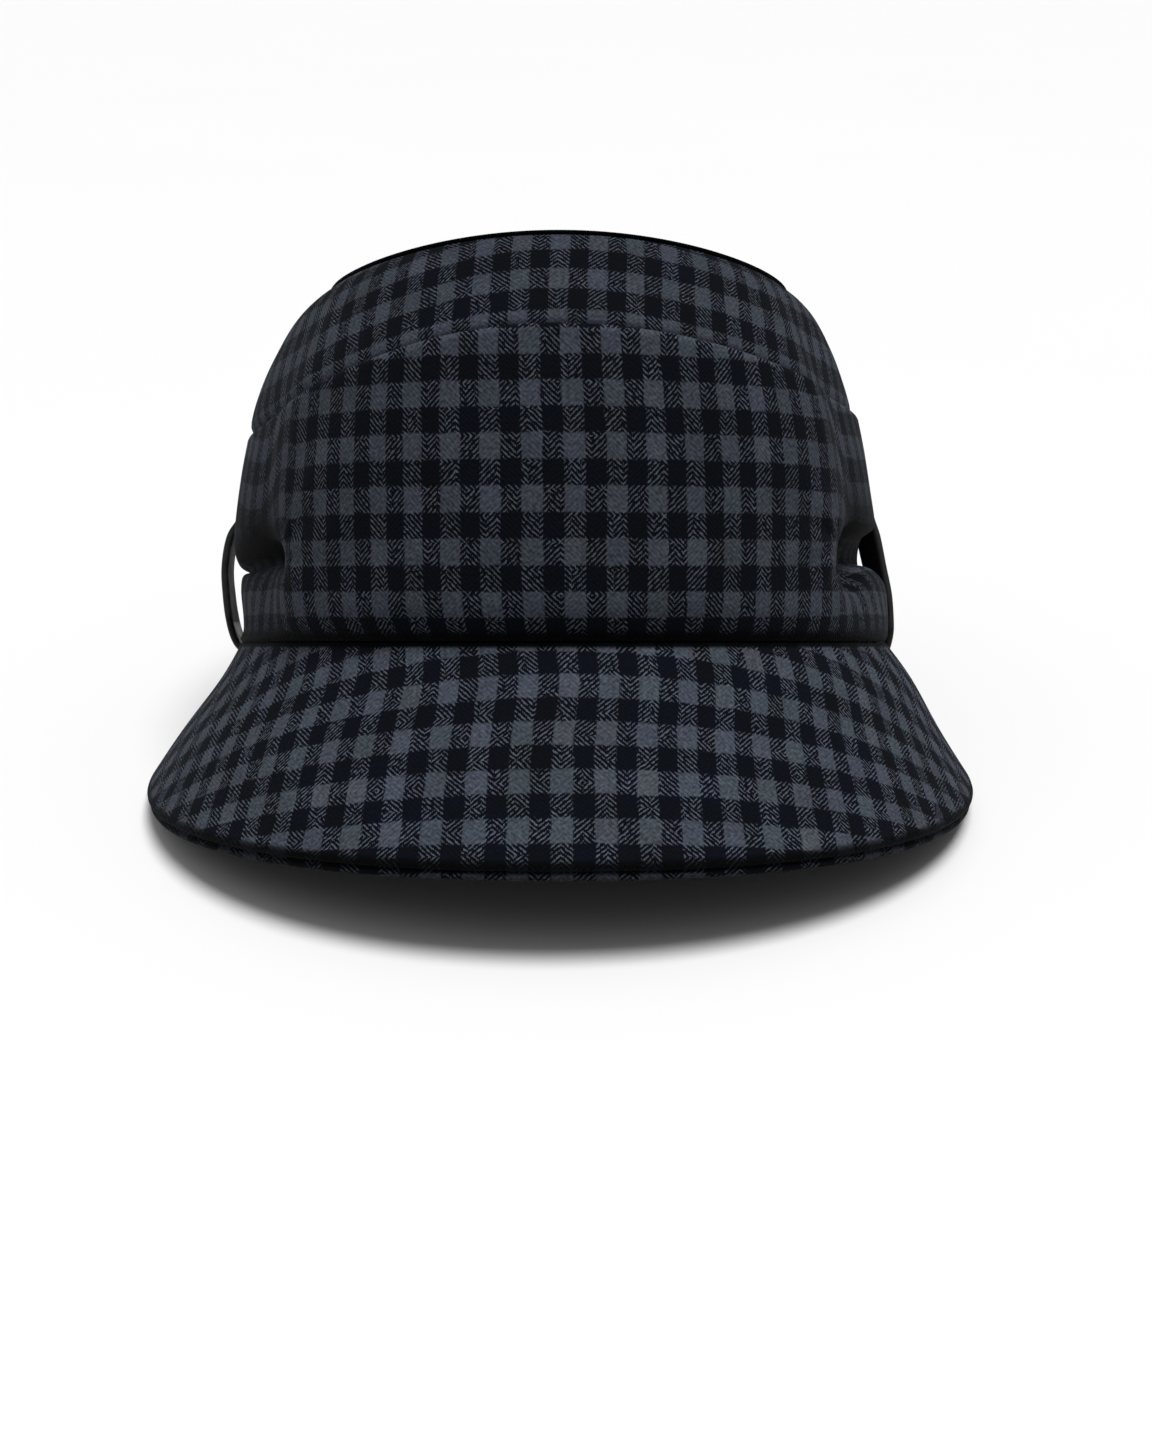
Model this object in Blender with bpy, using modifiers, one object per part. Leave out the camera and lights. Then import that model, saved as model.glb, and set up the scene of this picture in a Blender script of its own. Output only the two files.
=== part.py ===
"""A soft checked cap: a draped crown over a turned-down peak, with a leather strap on each side."""

import math
from collections import namedtuple

import bpy
from mathutils import Matrix, Vector

# All lengths are in metres. The cap is drawn round its seam, the oval where the crown meets
# the peak: x to the right, y to the back, z up, and angles round the crown from the front,
# positive to the right. It is then tipped back onto its peak and its back rim.

# Seam oval and the clearance that neighbouring pieces keep
SEAM_HALF_WIDTH = 0.088
SEAM_HALF_LENGTH = 0.104
CLEARANCE = 0.0003

# Cloth and leather
WRAP_CLOTH = 0.0016
SIDE_CLOTH = 0.0016
TIP_CLOTH = 0.0016
PEAK_CLOTH = 0.0015
UNDER_CLOTH = 0.0015

# Folded top edge of the wrap, above the seam
FOLD_FRONT = 0.074
FOLD_SIDE = 0.0585
FOLD_BACK = 0.058
FOLD_SHARPNESS = 3.0
FOLD_OVERLAP = 0.016

# How far the wrap swells past the seam oval, and the pinch at each side
FRONT_PUFF = 0.006
SIDE_PUFF = 0.002
BACK_PUFF = 0.0035
RIM_TUCK = 0.0005
PINCH_START = math.radians(43)
PINCH_DEEP = math.radians(62)
PINCH_EASE = math.radians(116)
PINCH_END = math.radians(140)
PinchSide = namedtuple("PinchSide", "band belly crease taper mouth")
PINCH_LEFT = PinchSide(band=-0.0004, belly=0.0004, crease=0.0046, taper=0.0030, mouth=0.0)
PINCH_RIGHT = PinchSide(band=0.0012, belly=-0.0024, crease=0.0068, taper=0.0052, mouth=0.005)

# Tip, the oval panel on top of the crown
TIP_HALF_WIDTH = 0.0635
TIP_HALF_LENGTH = 0.0865
TIP_FRONT = 0.0985
TIP_SIDE = 0.0945
TIP_BACK = 0.093
TIP_DOME = 0.0085
DOME_POWER = 1.7
TIP_ALLOWANCE = 0.003

# Peak, a cone that slopes down from the seam
PEAK_SLOPE = math.radians(57)
PEAK_LENGTH = 0.0583
PEAK_TAIL = 0.002
PEAK_SPAN = math.radians(118)
PEAK_BREADTH = 2.5
PEAK_ROUNDING = 0.75
UNDER_LIP = 0.0008
UNDER_FLANGE = 0.003

# Side straps
STRAP_WIDTH = 0.011
STRAP_LEATHER = 0.002
STRAP_ANGLE = math.radians(97)
STRAP_RISE = 0.036
STRAP_TAIL = 0.008
STRAP_FOOT = 0.0012
STRAP_FOOT_LIFT = 0.0008
STRAP_BOW_LEFT = 0.0040
STRAP_BOW_RIGHT = 0.0031
STRAP_TURN_LEFT = math.radians(-4)
STRAP_TURN_RIGHT = math.radians(16)

# Cloth pressed flat where the cap rests, and the softened edges
REST_FLAT = 0.0004
CLOTH_EDGE = 0.0004
STRAP_EDGE = 0.0006
SHARP_EDGE = math.radians(60)
FLOOR_CUTTER = 0.4
STEEPEST_REST = math.radians(60)
REST_TRIES = 50

# Faces round the crown, along each section and along the straps
AROUND = 52
WRAP_STEPS = 19
SIDE_STEPS = 6
TIP_RINGS = 6
PEAK_AROUND = 40
PEAK_STEPS = 4
STRAP_STEPS = 14

# One row for each level of the wrap, from its hidden rim up to the fold. The first three
# columns draw the smooth section at the front and back, the others the pinched one.
#   rise, pinch_rise   share of the height from rim to fold
#   puff               share of the swell past the seam oval
#   tuck               share of RIM_TUCK, inwards
#   band, belly        share of the side's swell below and above the crease
#   crease             share of the crease's depth, inwards
#   taper              share of the side's taper towards the fold, inwards
#   mouth              share of the height that the crease gapes
WrapLevel = namedtuple("WrapLevel", "rise puff tuck pinch_rise band belly crease taper mouth")
WRAP_LEVELS = (
    WrapLevel(0.000, 0.00, 1.00, 0.000, 0.0, 0.0, 0.00, 0.00, 0.0),
    WrapLevel(0.004, 0.16, 0.00, 0.009, 0.1, 0.0, 0.00, 0.00, 0.0),
    WrapLevel(0.034, 0.50, 0.00, 0.042, 0.8, 0.0, 0.00, 0.00, 0.0),
    WrapLevel(0.105, 0.83, 0.00, 0.110, 1.0, 0.0, 0.00, 0.00, 0.0),
    WrapLevel(0.180, 0.94, 0.00, 0.215, 0.7, 0.0, 0.08, 0.00, 0.0),
    WrapLevel(0.240, 0.98, 0.00, 0.270, 0.3, 0.0, 0.36, 0.00, 0.0),
    WrapLevel(0.290, 1.00, 0.00, 0.298, 0.0, 0.0, 1.00, 0.00, 0.3),
    WrapLevel(0.345, 1.00, 0.00, 0.340, 0.0, 0.0, 0.82, 0.00, 1.0),
    WrapLevel(0.410, 1.00, 0.00, 0.340, 0.0, 0.6, 0.06, 0.00, 1.0),
    WrapLevel(0.500, 1.00, 0.00, 0.455, 0.0, 1.0, 0.00, 0.00, 0.6),
    WrapLevel(0.640, 0.95, 0.00, 0.640, 0.0, 1.0, 0.00, 0.12, 0.2),
    WrapLevel(0.820, 0.76, 0.00, 0.840, 0.0, 0.7, 0.00, 0.45, 0.0),
    WrapLevel(1.000, 0.42, 0.00, 1.000, 0.0, 0.2, 0.00, 1.00, 0.0),
)

# One row for each level of the upper crown, from the fold to the tip seam: the share of the
# rise, and the shares of the way in at the front and back and at the sides.
CrownLevel = namedtuple("CrownLevel", "rise front_run side_run")
CROWN_LEVELS = (
    CrownLevel(0.00, 0.00, 0.00),
    CrownLevel(0.25, 0.22, 0.10),
    CrownLevel(0.50, 0.46, 0.26),
    CrownLevel(0.75, 0.71, 0.51),
    CrownLevel(0.90, 0.88, 0.76),
    CrownLevel(1.00, 1.00, 1.00),
)

# One row for each point of a strap between its foot and the crown: the share of the rise, of
# the bow outwards, and of the turn that shows its inner face.
StrapPoint = namedtuple("StrapPoint", "rise bow turn")
STRAP_POINTS = (
    StrapPoint(0.06, 0.46, 0.1),
    StrapPoint(0.18, 0.78, 0.3),
    StrapPoint(0.40, 1.00, 0.7),
    StrapPoint(0.62, 1.02, 1.0),
    StrapPoint(0.84, 0.66, 0.9),
)


def blend(first, second, share):
    return first + (second - first) * share


def smooth_step(low, high, value):
    share = min(max((value - low) / (high - low), 0.0), 1.0)
    return share * share * (3 - 2 * share)


def round_value(angle, front, side, back, sharpness=2.0):
    """A size that changes smoothly round the cap from the front to the sides and the back."""
    end = front if math.cos(angle) > 0 else back
    return blend(side, end, abs(math.cos(angle)) ** sharpness)


def on_oval(angle, half_width, half_length, height):
    return Vector((half_width * math.sin(angle), -half_length * math.cos(angle), height))


def past_seam(angle, out, height):
    return on_oval(angle, SEAM_HALF_WIDTH + out, SEAM_HALF_LENGTH + out, height)


def curve_through(points, share):
    """The point at a share of the way along a smooth curve through evenly numbered points."""
    place = share * (len(points) - 1)
    start = min(int(place), len(points) - 2)
    t = place - start
    before = points[max(start - 1, 0)]
    here, there = points[start], points[start + 1]
    after = points[min(start + 2, len(points) - 1)]
    return tuple(
        0.5 * (2 * b + (c - a) * t + (2 * a - 5 * b + 4 * c - d) * t**2 + (3 * b - a - 3 * c + d) * t**3)
        for a, b, c, d in zip(before, here, there, after)
    )


def rim_height():
    """The wrap's hidden rim stands on the root of the peak."""
    return RIM_TUCK * math.tan(PEAK_SLOPE) + CLEARANCE


def pinch_strength(angle):
    turn = abs(angle)
    return smooth_step(PINCH_START, PINCH_DEEP, turn) - smooth_step(PINCH_EASE, PINCH_END, turn)


def wrap_section(angle):
    """The wrap's outer face at an angle: (out past the seam oval, height) from rim to fold."""
    rim = rim_height()
    fold = round_value(angle, FOLD_FRONT, FOLD_SIDE, FOLD_BACK, FOLD_SHARPNESS)
    swell = round_value(angle, FRONT_PUFF, SIDE_PUFF, BACK_PUFF)
    side = PINCH_RIGHT if math.sin(angle) > 0 else PINCH_LEFT
    pinch = pinch_strength(angle)
    taper = round_value(angle, 0.0, side.taper, 0.0)
    levels = []
    for level in WRAP_LEVELS:
        smooth_out = level.puff * swell - level.taper * taper
        pinched_out = level.band * side.band + level.belly * side.belly
        pinched_out -= level.crease * side.crease + level.taper * side.taper
        out = blend(smooth_out, pinched_out, pinch) - level.tuck * RIM_TUCK
        share = blend(level.rise, level.pinch_rise, pinch)
        levels.append((out, blend(rim, fold, share) + pinch * level.mouth * side.mouth))
    return [curve_through(levels, step / WRAP_STEPS) for step in range(WRAP_STEPS + 1)]


def wrap_face_at(angle, height):
    """How far out the wrap's face is at a height near its top, and the cosine of its slope."""
    section = wrap_section(angle)
    for (out_low, low), (out_high, high) in zip(section[-2::-1], section[:0:-1]):
        if height >= low:
            break
    share = (height - low) / (high - low)
    return blend(out_low, out_high, share), (high - low) / math.hypot(high - low, out_high - out_low)


def behind_wrap(angle, height):
    out, cosine = wrap_face_at(angle, height)
    return out - (WRAP_CLOTH + CLEARANCE) / cosine


def tip_point(angle, share):
    """A point on the tip's face, at a share of the way out from its middle to its edge."""
    edge = round_value(angle, TIP_FRONT, TIP_SIDE, TIP_BACK, FOLD_SHARPNESS)
    height = blend(TIP_FRONT + TIP_DOME, edge, share**DOME_POWER)
    return on_oval(angle, TIP_HALF_WIDTH * share, TIP_HALF_LENGTH * share, height)


def side_section(angle):
    """The upper crown's outer face at an angle, from behind the wrap to under the tip's edge."""
    fold = round_value(angle, FOLD_FRONT, FOLD_SIDE, FOLD_BACK, FOLD_SHARPNESS)
    points = [
        past_seam(angle, behind_wrap(angle, fold - hidden), fold - hidden)
        for hidden in (FOLD_OVERLAP, FOLD_OVERLAP / 2)
    ]
    out = behind_wrap(angle, fold)
    under_tip = Vector((0.0, 0.0, -TIP_CLOTH - CLEARANCE))
    top = (tip_point(angle, 1.0) + under_tip).z
    for step in range(SIDE_STEPS + 1):
        rise, front_run, side_run = curve_through(CROWN_LEVELS, step / SIDE_STEPS)
        run = round_value(angle, front_run, side_run, front_run)
        half_width = blend(SEAM_HALF_WIDTH + out, TIP_HALF_WIDTH, run)
        half_length = blend(SEAM_HALF_LENGTH + out, TIP_HALF_LENGTH, run)
        points.append(on_oval(angle, half_width, half_length, blend(fold, top, rise)))
    points.append(tip_point(angle, 1 - TIP_ALLOWANCE / TIP_HALF_WIDTH) + under_tip)
    return points


def peak_reach(angle):
    """The peak's length down its slope at an angle, longest at the front."""
    share = max(1 - (abs(angle) / PEAK_SPAN) ** PEAK_BREADTH, 0.0) ** PEAK_ROUNDING
    return blend(PEAK_TAIL, PEAK_LENGTH, share)


def peak_point(angle, down, depth=0.0):
    """A point on the peak's cone, so far down its slope and so deep under its top face."""
    out = down * math.cos(PEAK_SLOPE) - depth * math.sin(PEAK_SLOPE)
    height = -down * math.sin(PEAK_SLOPE) - depth * math.cos(PEAK_SLOPE)
    return past_seam(angle, out, height)


def peak_rows(depth=0.0, lip=0.0, flange=0.0):
    """The face of a cloth of the peak, from its root under the wrap's rim down to its edge."""
    root = -RIM_TUCK / math.cos(PEAK_SLOPE) - flange
    rows = []
    for step in range(PEAK_STEPS + 1):
        row = []
        for turn in range(PEAK_AROUND + 1):
            angle = blend(-PEAK_SPAN, PEAK_SPAN, turn / PEAK_AROUND)
            down = blend(root, peak_reach(angle) + lip, step / PEAK_STEPS)
            row.append(peak_point(angle, down, depth))
        rows.append(row)
    return rows


def material(name, colour, roughness):
    made = bpy.data.materials.new(name)
    made.use_nodes = True
    shader = made.node_tree.nodes["Principled BSDF"]
    shader.inputs["Base Color"].default_value = (*colour, 1.0)
    shader.inputs["Roughness"].default_value = roughness
    shader.inputs["Metallic"].default_value = 0.0
    return made


def sheet_object(name, rows, finish, closed=False):
    """An open surface through rows of points, faces turned out, in the cap's collection."""
    width = len(rows[0])
    around = width if closed else width - 1
    faces = []
    for low in range(len(rows) - 1):
        for turn in range(around):
            right = (turn + 1) % width
            here, above = low * width, (low + 1) * width
            faces.append((here + turn, here + right, above + right, above + turn))
    mesh = bpy.data.meshes.new(name)
    mesh.from_pydata([point for row in rows for point in row], [], faces)
    mesh.materials.append(finish)
    made = bpy.data.objects.new(name, mesh)
    bpy.data.collections["cap"].objects.link(made)
    mesh.shade_smooth()
    return made


def thicken(piece, thickness, edge, offset=-1.0):
    """Cloth or leather of one thickness, inwards from its face, with softened edges."""
    wall = piece.modifiers.new("thickness", "SOLIDIFY")
    wall.thickness = thickness
    wall.offset = offset
    softened = piece.modifiers.new("edge", "BEVEL")
    softened.width = edge
    softened.limit_method = "ANGLE"
    softened.angle_limit = SHARP_EDGE


def crown_angles():
    return [2 * math.pi * turn / AROUND - math.pi for turn in range(AROUND)]


def crown_wrap(finish):
    sections = [
        [past_seam(angle, out, height) for out, height in wrap_section(angle)]
        for angle in crown_angles()
    ]
    piece = sheet_object("crown_wrap", list(zip(*sections)), finish, closed=True)
    thicken(piece, WRAP_CLOTH, CLOTH_EDGE)
    return piece


def crown_side(finish):
    sections = [side_section(angle) for angle in crown_angles()]
    piece = sheet_object("crown_side", list(zip(*sections)), finish, closed=True)
    thicken(piece, SIDE_CLOTH, CLOTH_EDGE)
    return piece


def crown_tip(finish):
    shares = [1 - ring / TIP_RINGS for ring in range(TIP_RINGS)]
    rows = [[tip_point(angle, share) for angle in crown_angles()] for share in shares]
    piece = sheet_object("crown_tip", rows, finish, closed=True)
    close_middle(piece)
    thicken(piece, TIP_CLOTH, CLOTH_EDGE)
    return piece


def close_middle(piece):
    """Closes the tip's innermost ring with a fan of faces round its middle."""
    mesh = piece.data
    first = (TIP_RINGS - 1) * AROUND
    middle = len(mesh.vertices)
    points = [vertex.co.copy() for vertex in mesh.vertices] + [tip_point(0.0, 0.0)]
    faces = [tuple(face.vertices) for face in mesh.polygons]
    faces += [(first + turn, first + (turn + 1) % AROUND, middle) for turn in range(AROUND)]
    mesh.clear_geometry()
    mesh.from_pydata(points, [], faces)
    mesh.shade_smooth()


def peak(finish):
    rows = peak_rows()
    piece = sheet_object("peak", rows[::-1], finish)
    thicken(piece, PEAK_CLOTH, CLOTH_EDGE)
    return piece


def peak_under(finish):
    rows = peak_rows(PEAK_CLOTH + CLEARANCE, UNDER_LIP, UNDER_FLANGE)
    piece = sheet_object("peak_under", rows[::-1], finish)
    thicken(piece, UNDER_CLOTH, CLOTH_EDGE)
    return piece


def strap_route(angle, outward, bow):
    """The strap's middle line from its foot on the peak to its end on the crown, with its turn."""
    half = STRAP_LEATHER / 2
    foot = peak_point(angle, STRAP_FOOT / math.cos(PEAK_SLOPE), -STRAP_FOOT_LIFT)
    seats = []
    for height in (STRAP_RISE, STRAP_RISE + STRAP_TAIL):
        out, cosine = wrap_face_at(angle, height)
        seats.append(past_seam(angle, out + (CLEARANCE + half) / cosine, height))
    route = [(*foot, 0.0)]
    for point in STRAP_POINTS:
        route.append((*(foot.lerp(seats[0], point.rise) + outward * bow * point.bow), point.turn))
    return route + [(*seat, 0.0) for seat in seats]


def strap(name, angle, bow, turn, finish):
    outward = on_oval(angle, SEAM_HALF_LENGTH, SEAM_HALF_WIDTH, 0.0).normalized()
    forward = Vector((outward.y, -outward.x, 0.0)) * math.copysign(STRAP_WIDTH / 2, angle)
    route = strap_route(angle, outward, bow)
    rows = []
    for step in range(STRAP_STEPS + 1):
        *middle, share = curve_through(route, step / STRAP_STEPS)
        swing = Matrix.Rotation(math.copysign(turn, angle) * share, 3, "Z")
        reach = swing @ forward
        rows.append([Vector(middle) + reach * side for side in (-1, 0, 1)])
    if angle < 0:
        rows = [row[::-1] for row in rows]
    piece = sheet_object(name, rows, finish)
    thicken(piece, STRAP_LEATHER, STRAP_EDGE, offset=0.0)
    return piece


def solid_points(piece):
    """The corners of a finished solid, round the seam."""
    finished = piece.evaluated_get(bpy.context.evaluated_depsgraph_get())
    points = [vertex.co.copy() for vertex in finished.to_mesh().vertices]
    finished.to_mesh_clear()
    return points


def tilted(points, tilt):
    """The points with the front raised by the tilt: (to the back, up)."""
    cosine, sine = math.cos(tilt), math.sin(tilt)
    return [(p.y * cosine + p.z * sine, p.z * cosine - p.y * sine) for p in points]


def resting_tilt(peak_points, wrap_points):
    """The tilt at which the peak and the back of the wrap stand equally low."""
    low, high = 0.0, STEEPEST_REST
    for _ in range(REST_TRIES):
        tilt = (low + high) / 2
        peak_low, wrap_low = (
            min(up for _, up in tilted(points, tilt)) for points in (peak_points, wrap_points)
        )
        low, high = (tilt, high) if peak_low < wrap_low else (low, tilt)
    return tilt


def rest_on_floor(pieces):
    """Tips the cap back onto its peak and back rim, centred, to sink in by the pressed cloth."""
    bpy.context.view_layer.update()
    points = {piece.name: solid_points(piece) for piece in pieces}
    tilt = resting_tilt(points["peak_under"], points["crown_wrap"])
    places = [place for each in points.values() for place in tilted(each, tilt)]
    backs = [back for back, _ in places]
    stand = bpy.data.objects.new("cap_rest", None)
    bpy.data.collections["cap"].objects.link(stand)
    stand.rotation_euler.x = -tilt
    stand.location.y = -(min(backs) + max(backs)) / 2
    stand.location.z = -min(up for _, up in places) - REST_FLAT
    for piece in pieces:
        piece.parent = stand


def floor_cutter():
    bpy.ops.mesh.primitive_cube_add(size=FLOOR_CUTTER, location=(0, 0, -FLOOR_CUTTER / 2))
    cutter = bpy.context.object
    cutter.name = "floor_cutter"
    for holder in cutter.users_collection:
        holder.objects.unlink(cutter)
    bpy.data.collections["cap_cutters"].objects.link(cutter)
    cutter.hide_render = True
    cutter.display_type = "WIRE"
    return cutter


def press_flat(piece, cutter):
    pressed = piece.modifiers.new("rest", "BOOLEAN")
    pressed.operation = "DIFFERENCE"
    pressed.solver = "EXACT"
    pressed.object = cutter


def start_scene():
    for old in list(bpy.data.objects):
        bpy.data.objects.remove(old, do_unlink=True)
    for name in ("cap", "cap_cutters"):
        bpy.context.scene.collection.children.link(bpy.data.collections.new(name))


def build_cap():
    start_scene()
    check_cloth = material("checked_wool", (0.028, 0.033, 0.042), 0.9)
    leather = material("black_leather", (0.008, 0.008, 0.009), 0.38)
    wrap = crown_wrap(check_cloth)
    under = peak_under(check_cloth.copy())
    pieces = [
        wrap,
        under,
        crown_side(check_cloth.copy()),
        crown_tip(check_cloth.copy()),
        peak(check_cloth.copy()),
        strap("strap_left", -STRAP_ANGLE, STRAP_BOW_LEFT, STRAP_TURN_LEFT, leather),
        strap("strap_right", STRAP_ANGLE, STRAP_BOW_RIGHT, STRAP_TURN_RIGHT, leather.copy()),
    ]
    rest_on_floor(pieces)
    cutter = floor_cutter()
    press_flat(wrap, cutter)
    press_flat(under, cutter)


build_cap()
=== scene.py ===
"""The looks of a soft checked cap: gingham wool, leather straps, a pale floor and soft light."""
import math

import bpy
import numpy as np
from mathutils import Matrix, Vector


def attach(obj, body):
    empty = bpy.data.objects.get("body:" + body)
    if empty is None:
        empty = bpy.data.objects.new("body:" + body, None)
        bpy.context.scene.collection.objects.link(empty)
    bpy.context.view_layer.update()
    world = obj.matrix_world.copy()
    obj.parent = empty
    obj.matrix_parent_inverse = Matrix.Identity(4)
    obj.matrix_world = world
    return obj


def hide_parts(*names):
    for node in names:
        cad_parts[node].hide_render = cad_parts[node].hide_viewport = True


# All lengths are in metres. Each cloth is drawn round the cap's seam, the oval where the crown
# meets the peak: x to the right, y to the back, z up, and angles round the crown from the
# front, positive to the right. CAP_TILT and CAP_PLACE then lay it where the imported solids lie.
CAP_TILT = math.radians(17.529482)
CAP_PLACE = (0.0, 0.012941, 0.029915)
SEAM_HALF_WIDTH = 0.088
SEAM_HALF_LENGTH = 0.104
CLEARANCE = 0.0003
FLOOR_LIFT = 0.0001

# Cloth and leather
CLOTH = 0.0016
PEAK_CLOTH = 0.0015
EDGE_STEPS = 6
HIDDEN_EDGE = 0.0002

# Wrap: the fold's height, its swell past the seam oval, and the pinch at each side
FOLD_FRONT = 0.074
FOLD_LEFT = 0.0550
FOLD_RIGHT = 0.0608
FOLD_BACK = 0.058
FOLD_SHARPNESS = 3.0
FOLD_OVERLAP = 0.016
FRONT_PUFF = 0.006
SIDE_PUFF = 0.002
BACK_PUFF = 0.0035
RIM_TUCK = 0.0005
RIM_DROP = 0.00095
PINCH_START = math.radians(45)
PINCH_DEEP = math.radians(60)
PINCH_EASE = math.radians(116)
PINCH_END = math.radians(140)

# Painted shade and a painted highlight on the wrap: painted shade in the groove up to these
# heights above the seam, a painted highlight this far below the fold, and painted shade in a
# crease this deep, over this many levels
SEAM_DARK = (0.0012, 0.0050)
FOLD_HIGHLIGHT_REACH = 0.0016
DEEP_CREASE = 0.0062
CREASE_SPREAD = 1.9

# Upper crown: rows hidden behind the wrap, the shares of its rise over which it bulges over the
# fold and lies flat again, and the painted shade on it just above the fold and under the tip
SIDE_HIDDEN_ROWS = 8
OVERHANG_FULL = 0.10
OVERHANG_GONE = 0.62
FOLD_SHADE = 0.55
FOLD_DARK = (0.0004, 0.0026)
TIP_SEAM_DARK = 0.0009

# Tip
TIP_HALF_WIDTH = 0.0623
TIP_HALF_LENGTH = 0.0860
TIP_FRONT = 0.0985
TIP_SIDE = 0.0945
TIP_BACK = 0.093
TIP_DOME = 0.0085
DOME_POWER = 1.7
TIP_ALLOWANCE = 0.003
TIP_EDGE = 0.0008
TIP_THIN_FROM = 0.86
TIP_THIN_TO = 0.93
# Painted shade along the tip's rim at its seam, from this far inside the rim to this far past it,
# in shares of the tip's size
TIP_RIM_DARK = (-0.008, 0.004)

# Peak
PEAK_SLOPE = math.radians(57)
PEAK_LENGTH = 0.0583
PEAK_TAIL = 0.002
PEAK_SPAN = math.radians(118)
PEAK_BREADTH = 2.5
PEAK_ROUNDING = 0.75
UNDER_LIP = 0.0014
UNDER_FLANGE = 0.003

# Painted shade on the peak along its edge and at its root, and on its under cloth on its lip
# and behind it
PEAK_EDGE_SHADE = 0.9
PEAK_EDGE_DARK = (0.00028, 0.0021)
PEAK_ROOT_DARK = (0.0001, 0.0010)
LIP_SHADES = (0.62, 0.95)
LIP_SHARES = (0.8, 1.2)

# Side straps
STRAP_WIDTH = 0.011
STRAP_LEATHER = 0.002
STRAP_ANGLE = math.radians(97)
STRAP_RISE = 0.036
STRAP_TAIL = 0.008
STRAP_FOOT = 0.0012
STRAP_FOOT_LIFT = 0.0008

# Where the whole cap leans to its right or left: the height, the reach up and down, how far
SWAYS = ((-0.008, 0.011, 0.0016), (0.074, 0.021, -0.0011))

# Soft waves in the draped wrap: the heights above the seam where they set in, how far below the
# fold they fade, and for each its number round, phase, twist with height and share
WAVE_DEPTH = 0.0004
WAVE_START = (0.004, 0.024)
WAVE_FADE = 0.018
WAVES = ((5, 0.7, 42.0, 1.0), (11, -1.9, -65.0, 0.7))

# Finer wrinkles that fan out from the front end of each crease
WRINKLE_DEPTH = 0.00045
WRINKLE_REACH = 0.022
WRINKLE_ANGLE = math.radians(49)
WRINKLE_HEIGHT = 0.024
WRINKLE_COUNT = 8
WRINKLE_TURN = 1.2
WRINKLE_START = (-0.004, 0.006)
WRINKLE_EYE = 0.006

# Faces round the cap and along each section
AROUND = 480
WRAP_STEPS = 90
SIDE_STEPS = 56
TIP_RINGS = 40
PEAK_AROUND = 320
PEAK_STEPS = 60
STRAP_ALONG = 90
STRAP_ACROSS = 12

# Gingham check: the length of one repeat across and up each cloth, and where a light stripe lies
WRAP_CHECK = (0.0096, 0.01215)
WRAP_LIGHT = (0.0033, 0.0101)
UPPER_CHECK = (0.00915, 0.0134)
UPPER_LIGHT = (0.0004, 0.0009)
TIP_CHECK = (0.0096, 0.0096)
TIP_LIGHT = (0.0, 0.0)
PEAK_CHECK = (0.00924, 0.01255)
PEAK_LIGHT = (0.0003, -0.0110)
PEAK_COLUMN_FLARE = 2.15
PEAK_ROW_BEND = 0.9
PEAK_ROW_FLARE = 16.0

# How far the wrap's stripes fan out at the pinches, over which heights, and how far past the
# seam their spacing is measured
WRAP_FAN = math.radians(5)
FAN_RISE = (0.004, 0.022)
FAN_FALL = (0.024, 0.040)
GRAIN_PUFF = 0.0048

# Yarn of the cloth: its colours in the light and dark stripes, the twill's spacing, the size of
# the patches in which it leans one way, and the depth of its fuzz
LIGHT_YARN = (0.042, 0.049, 0.066)
GREEN_YARN = (0.040, 0.049, 0.060)
GREY_YARN = (0.050, 0.053, 0.062)
DARK_YARN = (0.0018, 0.0026, 0.0042)
NAVY_YARN = (0.0016, 0.0024, 0.0058)
TWILL = 0.00092
HERRINGBONE = (0.0024, 0.0061)
FUZZ = 0.00026

# How the weave varies: for the stripes' waver, the ribs' drift and the flecks, a noise's scale to
# the metre and its strength, then the scales of the fibres and of large cloudy patches
WAVER = (160.0, 0.0011)
RIB_DRIFT = (500.0, 4.0)
FLECKS = (1000.0, 3.6)
FIBRES = 1100.0
CLOUDS = 70.0
CELL_DRIFT = 3.7

# How soft a stripe's edge is, the share of the picks in the ribs, and which part of the ribs
# shows pale in a mixed cell and how pale
STRIPE_EDGE = 0.16
PICKS = 0.25
HATCH = (0.30, 0.80)
HATCH_PALE = 1.15

# How bright each piece's cloth is painted, mostly painted light and shade for how it faces the
# light with a small real difference in tone; how dark painted shade makes it at its deepest;
# and how much a painted highlight brightens it
WRAP_SHADE = 0.75
UPPER_SHADE = 0.80
PEAK_SHADE = 0.98
HOLLOW_SHADE = 0.03
PAINTED_HIGHLIGHT_GAIN = 1.45

# Leather: its colour, its worn edge's colour and half width, and the scales of its pores and clouds
LEATHER = (0.0040, 0.0040, 0.0045)
LEATHER_EDGE = (0.014, 0.0135, 0.0135)
EDGE_WEAR = 0.0006
PORES = 1900.0
LEATHER_CLOUDS = 240.0

# Camera, at the angle to the cap that the photograph has
CAMERA_DISTANCE = 0.640
CAMERA_YAW = math.radians(0.38)
CAMERA_DROP = math.radians(1.85)
CAMERA_LENS = 58.0
CAMERA_SENSOR = 36.0

# Floor and studio light: for each sun its angle right of the camera and above the floor, in
# degrees, its strength and its softness in degrees
FLOOR_REACH = 14.0
FLOOR_COLOUR = (0.72, 0.72, 0.72)
KEY_SUN = (34, 75, 3.5, 30)
FILL_SUN = (-28, 60, 0.35, 60)
SKY_STRENGTH = 0.28

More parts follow.
